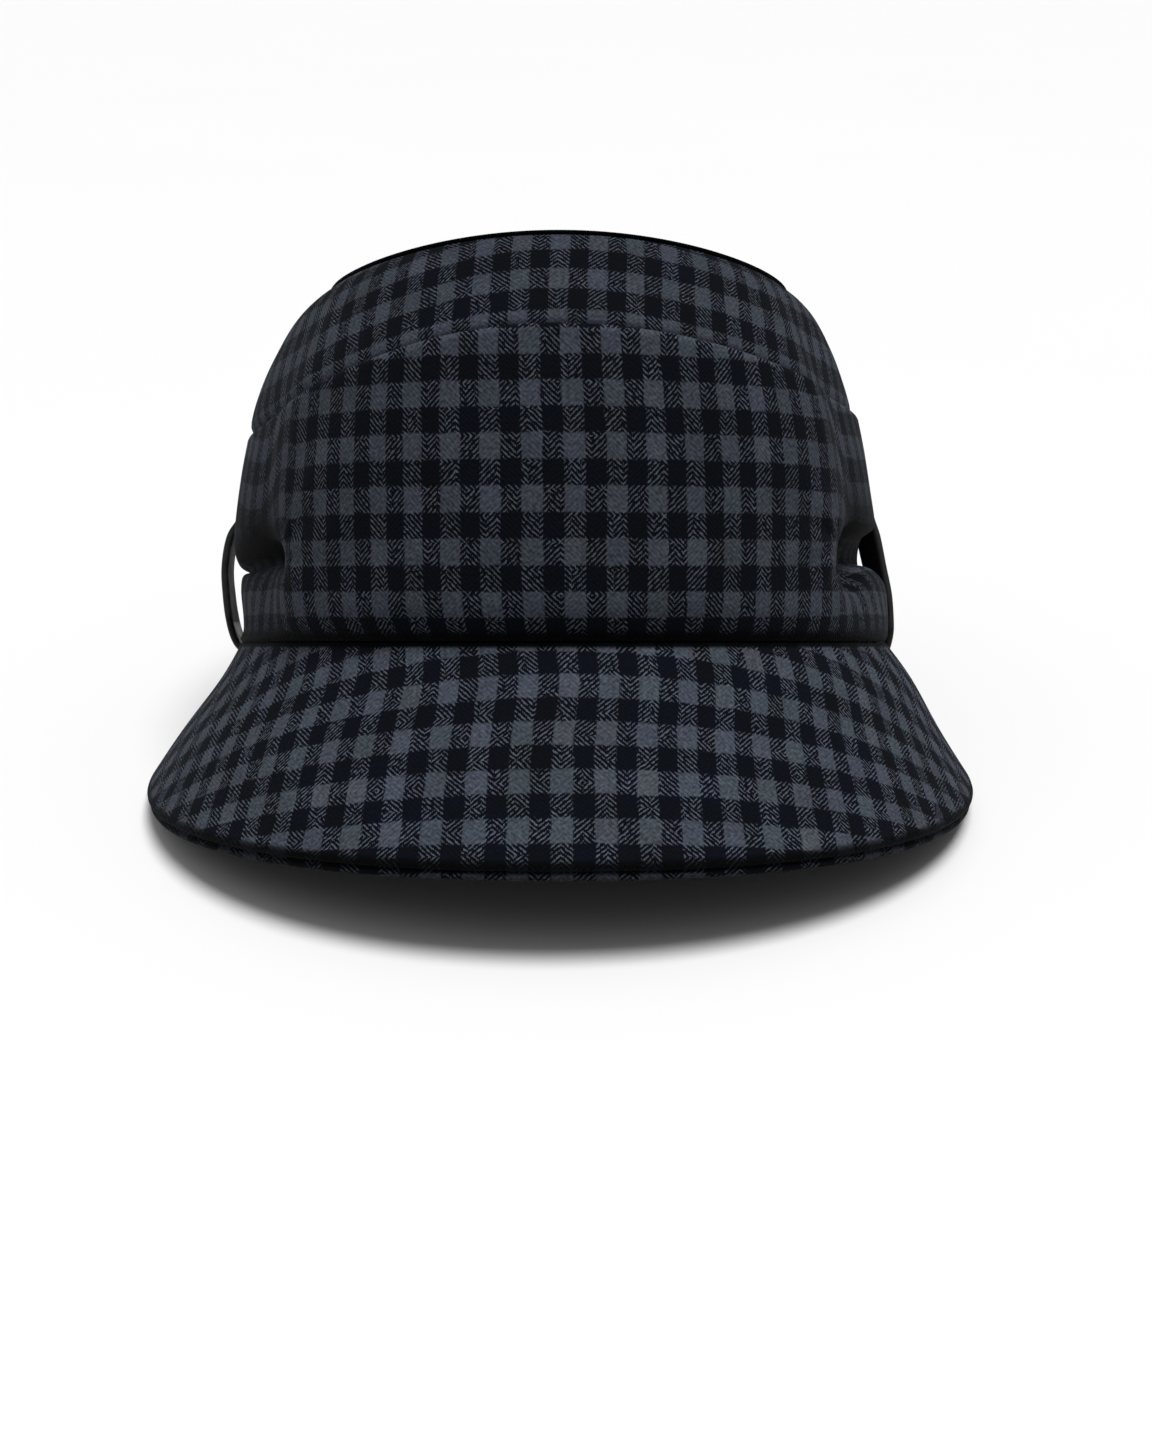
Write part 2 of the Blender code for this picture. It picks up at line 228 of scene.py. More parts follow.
# One row for each level of the wrap, from its hidden rim up to the fold. The first three
# columns draw the smooth section at the front and back, the others the pinched one.
#   rise, pinch_rise   share of the height from rim to fold
#   puff               share of the swell past the seam oval
#   tuck               share of RIM_TUCK, inwards
#   band, belly        share of the side's swell below and above the crease
#   crease             share of the crease's depth, inwards
#   taper              share of the side's taper towards the fold, inwards
#   mouth, sag         share of the height that the crease gapes and that its lip drops
WRAP_LEVELS = (
    # rise, puff, tuck, pinch_rise, band, belly, crease, taper, mouth, sag
    (0.000, 0.00, 1.00, 0.000, 0.0, 0.0, 0.00, 0.00, 0.0, 0.0),
    (0.010, 0.08, 0.00, 0.012, 0.1, 0.0, 0.00, 0.00, 0.0, 0.0),
    (0.040, 0.46, 0.00, 0.046, 0.8, 0.0, 0.00, 0.00, 0.0, 0.1),
    (0.105, 0.83, 0.00, 0.110, 1.0, 0.0, 0.00, 0.00, 0.0, 0.3),
    (0.180, 0.94, 0.00, 0.215, 0.7, 0.0, 0.06, 0.00, 0.0, 0.7),
    (0.240, 0.98, 0.00, 0.270, 0.3, 0.0, 0.36, 0.00, 0.0, 1.0),
    (0.290, 1.00, 0.00, 0.298, 0.0, 0.0, 1.00, 0.00, 0.1, 0.8),
    (0.345, 1.00, 0.00, 0.336, 0.0, 0.0, 0.90, 0.00, 0.8, 0.0),
    (0.410, 1.00, 0.00, 0.362, 0.0, 0.6, 0.22, 0.00, 1.0, 0.0),
    (0.500, 1.00, 0.00, 0.455, 0.0, 1.0, 0.00, 0.00, 0.6, 0.0),
    (0.640, 0.95, 0.00, 0.640, 0.0, 1.0, 0.00, 0.16, 0.2, 0.0),
    (0.820, 0.76, 0.00, 0.840, 0.0, 0.7, 0.00, 0.52, 0.0, 0.0),
    (1.000, 0.42, 0.00, 1.000, 0.0, 0.2, 0.00, 1.00, 0.0, 0.0),
)

# The pinch on the left and right, in metres: the swell of the band below the crease and of the
# belly above it, the taper towards the fold, and how far the upper crown bulges over the fold.
# darkest is the level of the wrap, counted in WRAP_LEVELS, where the painted shade in the crease is
# darkest.
PINCHES = {
    -1: dict(band=-0.0016, belly=0.0002, taper=0.0038, overhang=0.0018, darkest=7.9),
    1: dict(band=0.0008, belly=-0.0024, taper=0.0060, overhang=0.0006, darkest=8.1),
}

# How each crease runs round its side. One row for each angle from the front, in degrees:
#   crease   its depth in metres
#   mouth    how far it gapes upwards, in metres
#   sag      how far its lower lip drops, in metres
CREASES = {
    -1: (
        # angle, crease, mouth, sag
        (40, 0.0040, 0.0040, -0.0040),
        (50, 0.0078, 0.0064, -0.0044),
        (62, 0.0088, 0.0052, -0.0032),
        (74, 0.0064, 0.0034, -0.0028),
        (86, 0.0032, 0.0008, -0.0026),
        (104, 0.0034, 0.0006, -0.0010),
        (140, 0.0050, 0.0010, 0.0000),
    ),
    1: (
        # angle, crease, mouth, sag
        (40, 0.0034, 0.0040, 0.0056),
        (50, 0.0066, 0.0062, 0.0060),
        (57, 0.0094, 0.0074, 0.0036),
        (66, 0.0088, 0.0070, -0.0022),
        (80, 0.0078, 0.0080, -0.0022),
        (94, 0.0064, 0.0090, -0.0010),
        (140, 0.0060, 0.0050, 0.0000),
    ),
}

# The upper crown, from the fold to the tip seam: the share of the rise, and the shares of the
# way in at the front and back and at the sides.
CROWN_LEVELS = (
    (0.00, 0.00, 0.00),
    (0.25, 0.22, 0.10),
    (0.50, 0.46, 0.24),
    (0.75, 0.71, 0.48),
    (0.90, 0.88, 0.72),
    (1.00, 1.00, 1.00),
)

# The straps between foot and crown, on the left and right: the turn, and at each share of the
# rise how far the strap bows out, in metres, and its share of the turn.
STRAPS = {
    -1: dict(turn=math.radians(-4), points=(
        # rise, bow, turned
        (0.06, 0.0018, 0.1),
        (0.18, 0.0031, 0.3),
        (0.40, 0.0043, 0.7),
        (0.62, 0.0049, 1.0),
        (0.84, 0.0036, 0.9),
    )),
    1: dict(turn=math.radians(17), points=(
        # rise, bow, turned
        (0.06, 0.0012, 0.1),
        (0.18, 0.0024, 0.3),
        (0.40, 0.0024, 0.7),
        (0.62, 0.0011, 1.0),
        (0.84, 0.0001, 1.0),
    )),
}


def blend(first, second, share):
    return first + (second - first) * share


def smooth_step(low, high, value):
    share = np.clip((value - low) / (high - low), 0.0, 1.0)
    return share * share * (3 - 2 * share)


def round_value(angle, front, side, back, sharpness=2.0):
    """A size that changes smoothly round the cap from the front to the sides and the back."""
    end = np.where(np.cos(angle) > 0, front, back)
    return blend(side, end, np.abs(np.cos(angle)) ** sharpness)


def on_oval(angle, half_width, half_length, height):
    """Points on ovals round the crown, at their angles and heights."""
    x, y, z = np.broadcast_arrays(half_width * np.sin(angle), -half_length * np.cos(angle), height)
    return np.stack([x, y, z], axis=-1)


def past_seam(angle, out, height):
    """Points so far out past the seam oval."""
    return on_oval(angle, SEAM_HALF_WIDTH + out, SEAM_HALF_LENGTH + out, height)


def curve_through(points, shares):
    """Smooth values at shares of the way through evenly numbered points, along the first axis."""
    points = np.asarray(points, float)
    place = np.asarray(shares) * (len(points) - 1)
    start = np.minimum(place.astype(int), len(points) - 2)
    t = (place - start).reshape((-1,) + (1,) * (points.ndim - 1))
    a, b = points[np.maximum(start - 1, 0)], points[start]
    c, d = points[start + 1], points[np.minimum(start + 2, len(points) - 1)]
    cubic = 3 * b - a - 3 * c + d
    return 0.5 * (2 * b + (c - a) * t + (2 * a - 5 * b + 4 * c - d) * t**2 + cubic * t**3)


def crown_angles():
    """The angles round the crown, from the back and over the left, the front and the right."""
    return np.linspace(-math.pi, math.pi, AROUND, endpoint=False)


def fold_height(angle):
    side = np.where(np.sin(angle) > 0, FOLD_RIGHT, FOLD_LEFT)
    return round_value(angle, FOLD_FRONT, side, FOLD_BACK, FOLD_SHARPNESS)


def side_sizes(angle, name):
    """A size of the pinch that differs between the left and right."""
    return np.where(np.sin(angle) > 0, PINCHES[1][name], PINCHES[-1][name])


def crease_sizes(angle):
    """The crease's depth, mouth and sag at each angle, from its row-by-row course."""
    turn = np.degrees(np.abs(angle))
    sides = []
    for side in (-1, 1):
        course = np.array(CREASES[side])
        fine = curve_through(course, np.linspace(0, 1, 200))
        sides.append([np.interp(turn, fine[:, 0], fine[:, part]) for part in (1, 2, 3)])
    return [np.where(np.sin(angle) > 0, right, left) for left, right in zip(*sides)]


def pinch_strength(angle):
    """How far each angle's section is the pinched one, from 0 to 1."""
    turn = np.abs(angle)
    return smooth_step(PINCH_START, PINCH_DEEP, turn) - smooth_step(PINCH_EASE, PINCH_END, turn)


def wrap_section(angle, steps):
    """The wrap's outer face: how far out past the seam oval and how high, (level, angle)."""
    rim = RIM_TUCK * math.tan(PEAK_SLOPE) + CLEARANCE
    fold = fold_height(angle)
    swell = round_value(angle, FRONT_PUFF, SIDE_PUFF, BACK_PUFF)
    pinch = pinch_strength(angle)
    side_taper = side_sizes(angle, "taper")
    taper = round_value(angle, 0.0, side_taper, 0.0)
    depth, gape, drop = crease_sizes(angle)
    outs, heights = [], []
    for rise, puff, tuck, pinch_rise, band, belly, crease, narrow, mouth, sag in WRAP_LEVELS:
        smooth_out = puff * swell - narrow * taper
        pinched_out = band * side_sizes(angle, "band") + belly * side_sizes(angle, "belly")
        pinched_out = pinched_out - crease * depth - narrow * side_taper
        outs.append(blend(smooth_out, pinched_out, pinch) - tuck * RIM_TUCK)
        height = blend(rim, fold, blend(rise, pinch_rise, pinch))
        heights.append(height + pinch * (mouth * gape - sag * drop))
    shares = np.linspace(0, 1, steps + 1)
    return curve_through(outs, shares), curve_through(heights, shares)


def wrap_face_at(angle, height):
    """How far out the wrap's face is at a height near its top, and the cosine of its slope."""
    outs, heights = wrap_section(angle, WRAP_STEPS)
    found, cosine = np.empty(len(angle)), np.empty(len(angle))
    for turn in range(len(angle)):
        level = len(heights) - 2
        while level > 0 and heights[level, turn] > height[turn]:
            level -= 1
        rise = heights[level + 1, turn] - heights[level, turn]
        run = outs[level + 1, turn] - outs[level, turn]
        found[turn] = outs[level, turn] + run * (height[turn] - heights[level, turn]) / rise
        cosine[turn] = rise / math.hypot(rise, run)
    return found, cosine


def behind_wrap(angle, height):
    """How far out a face lies that clears the wrap's inside at a height."""
    out, cosine = wrap_face_at(angle, height)
    return out - (CLOTH + CLEARANCE) / cosine


def tip_point(angle, share):
    """Points of the tip's upper face, at a share of the way from its middle to its rim."""
    edge = round_value(angle, TIP_FRONT, TIP_SIDE, TIP_BACK, FOLD_SHARPNESS)
    height = blend(TIP_FRONT + TIP_DOME, edge, share**DOME_POWER)
    return on_oval(angle, TIP_HALF_WIDTH * share, TIP_HALF_LENGTH * share, height)


def lengths_along(points, axis):
    """The length walked along an axis of a grid of points, from its first row or column."""
    steps = np.linalg.norm(np.diff(points[..., :3], axis=axis), axis=-1)
    first = np.zeros_like(np.take(steps, [0], axis=axis))
    return np.concatenate([first, np.cumsum(steps, axis=axis)], axis=axis)


def close_round(grid):
    return np.concatenate([grid, grid[:, :1]], axis=1)


def trimmed(points, low, high, steps):
    """The same face with evenly spaced rows, shortened by a length at its low and high end."""
    walked = lengths_along(points, 0)
    result = np.empty((steps + 1,) + points.shape[1:])
    shares = np.linspace(0, 1, steps + 1)
    for turn in range(points.shape[1]):
        stops = blend(low, walked[-1, turn] - high, shares)
        for part in range(points.shape[2]):
            result[:, turn, part] = np.interp(stops, walked[:, turn], points[:, turn, part])
    return result


def unit(vectors):
    return vectors / np.linalg.norm(vectors, axis=-1, keepdims=True)


def face_normals(points, closed):
    """Unit normals of a grid of points, (level, angle), turned out of the cap."""
    if closed:
        along = np.roll(points, -1, axis=1) - np.roll(points, 1, axis=1)
    else:
        along = np.gradient(points, axis=1)
    return unit(np.cross(along, np.gradient(points, axis=0)))


def cloth_shell(name, points, grain, marks, thickness, low, high, closed):
    """A closed wall of one thickness, inwards from a grid of points, with rounded rims.

    grain holds the cloth's lengths across and up at each point, with one column more where the
    wall is closed round, and marks its painted shade and painted highlight there. low and high
    are how far the rounded rims stand out past the grid."""
    grain = np.concatenate([grain, np.broadcast_to(marks, grain.shape)], axis=-1)
    normals = face_normals(points, closed)
    up = unit(np.gradient(points, axis=0))
    middle = points - normals * thickness / 2
    loop, cloth = list(points), list(grain)
    turns = [math.pi * step / EDGE_STEPS for step in range(1, EDGE_STEPS)]
    for turn in turns:
        round_out = normals[-1] * (thickness / 2 * math.cos(turn))
        loop.append(middle[-1] + (round_out + up[-1] * (high * math.sin(turn))))
        cloth.append(grain[-1] + np.array([0.0, thickness / 2 * turn, 0.0, 0.0]))
    loop += list((points - normals * thickness)[::-1])
    cloth += list(grain[::-1])
    for turn in turns:
        round_out = normals[0] * (thickness / 2 * math.cos(turn)) + up[0] * (low * math.sin(turn))
        loop.append(middle[0] - round_out)
        cloth.append(grain[0] - np.array([0.0, thickness / 2 * (math.pi - turn), 0.0, 0.0]))
    cloth.append(grain[0])
    return loop_object(name, np.array(loop), np.array(cloth), closed)


def loop_object(name, loop, cloth, closed):
    """A mesh through rows of points whose last row joins the first, with its grain and marks."""
    levels, width = loop.shape[:2]
    around = width if closed else width - 1
    row, column = np.meshgrid(np.arange(levels), np.arange(around), indexing="ij")
    above, right = (row + 1) % levels, (column + 1) % width
    corners = ((row, column), (row, right), (above, right), (above, column))
    faces = np.stack([level * width + turn for level, turn in corners], axis=-1).reshape(-1, 4)
    places = ((row, column), (row, column + 1), (row + 1, column + 1), (row + 1, column))
    uvs = np.stack([cloth[level, turn] for level, turn in places], axis=2).reshape(-1, 4)
    faces = [tuple(face) for face in faces.tolist()]
    if not closed:
        faces.append(tuple(range((levels - 1) * width, -1, -width)))
        faces.append(tuple(range(width - 1, levels * width, width)))
        uvs = np.concatenate([uvs, cloth[:levels, 0][::-1], cloth[:levels, -1]])
    mesh = bpy.data.meshes.new(name)
    mesh.from_pydata(loop.reshape(-1, 3).tolist(), [], faces)
    return finished_object(mesh, uvs)


def finished_object(mesh, uvs):
    """An object of a mesh, with its grain and its marks, painted shade and a painted highlight, as
    two UV maps.
    """
    for name, first in (("grain", 0), ("marks", 2)):
        layer = mesh.uv_layers.new(name=name)
        layer.data.foreach_set("uv", uvs[:, first:first + 2].astype(np.float32).ravel())
    mesh.shade_smooth()
    piece = bpy.data.objects.new(mesh.name, mesh)
    bpy.context.scene.collection.objects.link(piece)
    return piece


def add_to_cap(piece, node, finish):
    """Lays a piece as the cap rests, pressed flat on the floor, in place of its solid."""
    mesh = piece.data
    for vertex in mesh.vertices:
        height = vertex.co.z
        for middle, reach, lean in SWAYS:
            vertex.co.x += lean * math.exp(-((height - middle) / reach) ** 2)
    mesh.transform(Matrix.Translation(CAP_PLACE) @ Matrix.Rotation(-CAP_TILT, 4, "X"))
    for vertex in mesh.vertices:
        vertex.co.z = max(vertex.co.z, FLOOR_LIFT)
    mesh.materials.append(finish)
    mesh.update()
    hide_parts(node)
    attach(piece, "root")


def drape(angle, height, fold):
    """Soft waves in the wrap's face, in metres outwards, still at the seam and at the fold."""
    free = smooth_step(*WAVE_START, height) * smooth_step(0.0, WAVE_FADE, fold - height)
    slow = 0.0
    for count, phase, twist, share in WAVES:
        slow = slow + share * np.sin(count * angle + phase + height * twist)
    before = (WRINKLE_ANGLE - np.abs(angle)) * SEAM_HALF_LENGTH
    above = height - WRINKLE_HEIGHT
    far = np.hypot(before, above)
    fan = np.sin(WRINKLE_COUNT * np.arctan2(above, before) + WRINKLE_TURN)
    fan = fan * smooth_step(*WRINKLE_START, before) * smooth_step(0.0, WRINKLE_EYE, far)
    fan = fan * np.exp(-((far / WRINKLE_REACH) ** 2))
    return free * (WAVE_DEPTH * slow + WRINKLE_DEPTH * fan)


def wrap_piece():
    """The draped lower crown, its rim hidden at the seam, its fold over the upper crown."""
    angle = crown_angles()
    outs, heights = wrap_section(angle, 2 * WRAP_STEPS)
    outs = outs + drape(angle[None, :], heights, fold_height(angle))
    points = past_seam(angle[None, :], outs, heights)
    level = np.linspace(0, len(WRAP_LEVELS) - 1, 2 * WRAP_STEPS + 1)
    # Painted shade in the crease, deepest where the crease is deepest
    depth = crease_sizes(angle)[0] / DEEP_CREASE * pinch_strength(angle)
    from_darkest = (level[:, None] - side_sizes(angle, "darkest")) / CREASE_SPREAD
    dark = np.exp(-(from_darkest**2)) * np.minimum(depth, 1.0)
    points = np.concatenate([points, dark[..., None]], axis=-1)
    points = trimmed(points, HIDDEN_EDGE, CLOTH / 2, WRAP_STEPS)
    points, creased = points[..., :3], close_round(points[..., 3])
    height = close_round(lengths_along(points, 0)) + HIDDEN_EDGE
    way_round = np.linspace(-math.pi, math.pi, AROUND + 1)
    lean = close_round(pinch_strength(angle)[None, :]) * WRAP_FAN
    lean = lean * (smooth_step(*FAN_RISE, height) - smooth_step(*FAN_FALL, height))
    fine = np.linspace(-math.pi, math.pi, 4 * AROUND + 1)
    walked = lengths_along(past_seam(fine, GRAIN_PUFF, 0.0)[None], 1)[0]
    repeats = round(walked[-1] / WRAP_CHECK[0])
    walked = (walked - walked[-1] / 2) * (WRAP_CHECK[0] * repeats / walked[-1])
    across = np.interp(way_round[None, :] + np.sign(way_round)[None, :] * lean, fine, walked)
    finish = gingham("wrap_wool", WRAP_CHECK, WRAP_LIGHT, WRAP_SHADE)
    grain = np.stack([across, height], axis=-1)
    # Painted shade in the groove just above the seam and in the crease
    painted_shade = np.maximum(1 - smooth_step(*SEAM_DARK, height), creased)
    # A painted highlight along the fold's top edge
    tone_and_painted_light = smooth_step(FOLD_HIGHLIGHT_REACH, 0.0, height[-1:] - height)
    marks = np.stack([painted_shade, tone_and_painted_light], axis=-1)
    piece = cloth_shell("wrap_cloth", points, grain, marks, CLOTH, RIM_DROP, CLOTH / 2, True)
    add_to_cap(piece, "crown_wrap", finish)


def side_piece():
    """The upper crown, from behind the wrap to its allowance turned in under the tip."""
    angle = crown_angles()
    fold = fold_height(angle)
    rows = []
    for hidden in np.linspace(FOLD_OVERLAP, 0.0, SIDE_HIDDEN_ROWS + 1)[:-1]:
        rows.append(past_seam(angle, behind_wrap(angle, fold - hidden), fold - hidden))
    out = behind_wrap(angle, fold)
    bulge = round_value(angle, 0.0, side_sizes(angle, "overhang"), 0.0)
    under_tip = np.array([0.0, 0.0, TIP_EDGE + CLEARANCE])
    top = (tip_point(angle, 1.0) - under_tip)[:, 2]
    for rise, front_run, side_run in curve_through(CROWN_LEVELS, np.linspace(0, 1, SIDE_STEPS + 1)):
        run = round_value(angle, front_run, side_run, front_run)
        over = bulge * smooth_step(0.0, OVERHANG_FULL, rise)
        over = over * (1 - smooth_step(OVERHANG_FULL, OVERHANG_GONE, rise))
        half_width = blend(SEAM_HALF_WIDTH + out, TIP_HALF_WIDTH, run) + over
        half_length = blend(SEAM_HALF_LENGTH + out, TIP_HALF_LENGTH, run) + over
        rows.append(on_oval(angle, half_width, half_length, blend(fold, top, rise)))
    rows.append(tip_point(angle, 1 - TIP_ALLOWANCE / TIP_HALF_WIDTH) - under_tip)
    points = trimmed(np.array(rows), HIDDEN_EDGE, HIDDEN_EDGE, SIDE_STEPS)
    across = lengths_along(close_round(points), 1)
    across = across - across[:, AROUND // 2:AROUND // 2 + 1]
    height = close_round(lengths_along(points, 0)) - FOLD_OVERLAP
    finish = gingham("upper_wool", UPPER_CHECK, UPPER_LIGHT, UPPER_SHADE)
    grain = np.stack([across, height], axis=-1)
    top = height[-1:] - TIP_ALLOWANCE
    # Painted shade just above the fold and just under the tip's rim
    at_fold = FOLD_SHADE * (1 - smooth_step(*FOLD_DARK, height))
    painted_shade = at_fold + smooth_step(-TIP_SEAM_DARK, 0.0, height - top)
    marks = np.stack([np.minimum(painted_shade, 1.0), np.zeros_like(painted_shade)], axis=-1)
    piece = cloth_shell("upper_cloth", points, grain, marks, CLOTH, HIDDEN_EDGE, HIDDEN_EDGE, True)
    add_to_cap(piece, "crown_side", finish)


def tip_piece():
    """The oval panel on top, over and under, with its rounded rim, closed in its middle."""
    angle = crown_angles()
    rim = 1 - CLOTH / 2 / TIP_HALF_WIDTH
    shares = np.linspace(rim, 0.0, TIP_RINGS + 1)[:-1]
    face = np.array([tip_point(angle, share) for share in shares])
    under = face.copy()
    thickness = blend(CLOTH, TIP_EDGE, smooth_step(TIP_THIN_FROM, TIP_THIN_TO, shares))
    under[..., 2] -= thickness[:, None]
    outward = unit(face[0] * np.array([1.0, 1.0, 0.0]))
    rows = list(under[::-1])
    for step in range(1, EDGE_STEPS):
        turn = math.pi * step / EDGE_STEPS
        lift = np.array([0.0, 0.0, -TIP_EDGE / 2 * (1 + math.cos(turn))])
        rows.append(face[0] + outward * (CLOTH / 2 * math.sin(turn)) + lift)
    rows += list(face)
    points = np.array(rows).reshape(-1, 3)
    middles = [tip_point(0.0, 0.0) - np.array([0.0, 0.0, CLOTH]), tip_point(0.0, 0.0)]
    bottom, top = len(points), len(points) + 1
    faces = []
    for turn in range(AROUND):
        right = (turn + 1) % AROUND
        for level in range(len(rows) - 1):
            here, above = level * AROUND, (level + 1) * AROUND
            faces.append((here + turn, here + right, above + right, above + turn))
        last = (len(rows) - 1) * AROUND
        faces.append((right, turn, bottom))
        faces.append((last + turn, last + right, top))
    mesh = bpy.data.meshes.new("tip_cloth")
    mesh.from_pydata(points.tolist() + [list(middle) for middle in middles], [], faces)
    corners = np.empty(len(mesh.loops), dtype=np.int32)
    mesh.loops.foreach_get("vertex_index", corners)
    points = np.concatenate([points, np.array(middles)])
    out = np.hypot(points[:, 0] / TIP_HALF_WIDTH, points[:, 1] / TIP_HALF_LENGTH)
    # Painted shade along the rim
    painted_shade = smooth_step(rim + TIP_RIM_DARK[0], rim + TIP_RIM_DARK[1], out)
    marks = np.stack([painted_shade, np.zeros_like(painted_shade)], axis=-1)
    piece = finished_object(mesh, np.concatenate([points[:, :2], marks], axis=-1)[corners])
    add_to_cap(piece, "crown_tip", gingham("tip_wool", TIP_CHECK, TIP_LIGHT, UPPER_SHADE))


def development(angle):
    """Where the peak's root lies in its flat cloth, and how far its slope has turned there."""
    speed = np.hypot(SEAM_HALF_WIDTH * np.cos(angle), SEAM_HALF_LENGTH * np.sin(angle))
    heading = np.arctan2(SEAM_HALF_LENGTH * np.sin(angle), SEAM_HALF_WIDTH * np.cos(angle))
    turned = math.cos(PEAK_SLOPE) * np.unwrap(heading)
    step = angle[1] - angle[0]

    def walked(rate):
        total = np.concatenate([[0.0], np.cumsum((rate[1:] + rate[:-1]) / 2 * step)])
        return total - np.interp(0.0, angle, total)

    return walked(speed * np.cos(turned)), walked(-speed * np.sin(turned)), turned


def peak_piece(name, node, depth, lip, flange):
    """One cloth of the peak, a cone down from its root, so deep under the peak's face."""
    angle = np.linspace(-PEAK_SPAN, PEAK_SPAN, PEAK_AROUND + 1)
    share = np.clip(1 - (np.abs(angle) / PEAK_SPAN) ** PEAK_BREADTH, 0.0, None) ** PEAK_ROUNDING
    reach = blend(PEAK_TAIL, PEAK_LENGTH, share) + lip - PEAK_CLOTH / 2
    root = -RIM_TUCK / math.cos(PEAK_SLOPE) - flange + HIDDEN_EDGE
    down = blend(reach[None, :], root, np.linspace(0, 1, PEAK_STEPS + 1)[:, None])
    out = down * math.cos(PEAK_SLOPE) - depth * math.sin(PEAK_SLOPE)
    height = -down * math.sin(PEAK_SLOPE) - depth * math.cos(PEAK_SLOPE)
    points = past_seam(angle[None, :], out, height)
    root_across, root_up, turned = development(angle)
    across = root_across + down * np.sin(turned)
    fallen = root_up + down * np.cos(turned)
    bent = fallen + (PEAK_ROW_BEND + PEAK_ROW_FLARE * fallen) * across**2
    grain = np.stack([across / (1 + PEAK_COLUMN_FLARE * fallen), -bent], axis=-1)
    to_edge = reach - down
    # Painted shade along the edge and at the root; on the under cloth, on its lip and behind it
    edge_dark = PEAK_EDGE_SHADE * (1 - smooth_step(*PEAK_EDGE_DARK, to_edge))
    if lip:
        past_lip = smooth_step(LIP_SHARES[0] * lip, LIP_SHARES[1] * lip, to_edge)
        edge_dark = blend(*LIP_SHADES, past_lip)
    painted_shade = np.maximum(1 - smooth_step(*PEAK_ROOT_DARK, down), edge_dark)
    marks = np.stack([painted_shade, np.zeros_like(painted_shade)], axis=-1)
    piece = cloth_shell(name, points, grain, marks, PEAK_CLOTH, PEAK_CLOTH / 2, HIDDEN_EDGE, False)
    add_to_cap(piece, node, gingham(f"{name}_wool", PEAK_CHECK, PEAK_LIGHT, PEAK_SHADE))


def strap_piece(name, node, side, finish):
    """A leather strap from its foot on the peak, over the pinch, to its end on the crown."""
    angle = np.array([STRAP_ANGLE * side])
    outward = unit(on_oval(angle, SEAM_HALF_LENGTH, SEAM_HALF_WIDTH, 0.0))[0]
    forward = Vector((outward[1], -outward[0], 0.0)) * side * STRAP_WIDTH / 2
    down = STRAP_FOOT / math.cos(PEAK_SLOPE)
    out = down * math.cos(PEAK_SLOPE) + STRAP_FOOT_LIFT * math.sin(PEAK_SLOPE)
    height = -down * math.sin(PEAK_SLOPE) + STRAP_FOOT_LIFT * math.cos(PEAK_SLOPE)
    foot = past_seam(angle, out, height)[0]
    seats = []
    for height in (STRAP_RISE, STRAP_RISE + STRAP_TAIL):
        face, cosine = wrap_face_at(angle, np.array([height]))
        lifted = face + (CLEARANCE + STRAP_LEATHER / 2) / cosine
        seats.append(past_seam(angle, lifted, height)[0])
    sizes = STRAPS[side]
    route = [(*foot, 0.0)]
    for rise, bow, turn in sizes["points"]:
        route.append((*(blend(foot, seats[0], rise) + outward * bow), turn))
    route += [(*seat, 0.0) for seat in seats]
    rows = []
    for x, y, z, share in curve_through(route, np.linspace(0, 1, STRAP_ALONG + 1)):
        swing = Matrix.Rotation(sizes["turn"] * side * share, 3, "Z")
        reach = np.array(swing @ forward) * (1 - STRAP_LEATHER / STRAP_WIDTH)
        places = np.linspace(-side, side, STRAP_ACROSS + 1)
        rows.append(np.array((x, y, z)) + places[:, None] * reach)
    points = np.array(rows).transpose(1, 0, 2)
    points = points + face_normals(points, False) * STRAP_LEATHER / 2
    grain = np.stack([lengths_along(points, 0), lengths_along(points, 1)], axis=-1)
    half = STRAP_LEATHER / 2
    piece = cloth_shell(name, points, grain, (0.0, 0.0), STRAP_LEATHER, half, half, False)
    add_to_cap(piece, node, finish)


class Nodes:
    """Makes shader nodes in one material, linked to values or to other nodes' outputs."""

    def __init__(self, name):
        self.material = bpy.data.materials.new(name)
        self.material.use_nodes = True
        self.tree = self.material.node_tree
        self.shader = self.tree.nodes["Principled BSDF"]

    def put(self, socket, value):
        if isinstance(value, bpy.types.NodeSocket):
            self.tree.links.new(value, socket)
        else:
            socket.default_value = value

    def add(self, kind, inputs=(), **settings):
        made = self.tree.nodes.new(f"ShaderNode{kind}")
        for setting, value in settings.items():
            setattr(made, setting, value)
        for place, value in enumerate(inputs):
            if value is not None:
                self.put(made.inputs[place], value)
        return made

    def maths(self, operation, *values):
        return self.add("Math", values, operation=operation).outputs[0]

    def soft_step(self, value, low, high, start=0.0, end=1.0):
        inputs = (value, low, high, start, end)
        return self.add("MapRange", inputs, interpolation_type="SMOOTHSTEP").outputs[0]

    def noise(self, place, scale, detail=2.0):
        made = self.add("TexNoise", (place,))
        made.inputs["Scale"].default_value = scale
        made.inputs["Detail"].default_value = detail
        return made.outputs[0]

    def mix(self, share, first, second):
        made = self.add("Mix", data_type="RGBA", clamp_factor=False)
        self.put(made.inputs["Factor"], share)
        for label, value in (("A", first), ("B", second)):
            socket = [one for one in made.inputs if one.name == label and one.type == "RGBA"][0]
            self.put(socket, value if isinstance(value, bpy.types.NodeSocket) else (*value, 1.0))
        return [one for one in made.outputs if one.type == "RGBA"][0]

    def bump(self, height, distance, strength):
        made = self.add("Bump")
        made.inputs["Strength"].default_value = strength
        made.inputs["Distance"].default_value = distance
        self.put(made.inputs["Height"], height)
        self.put(self.shader.inputs["Normal"], made.outputs[0])


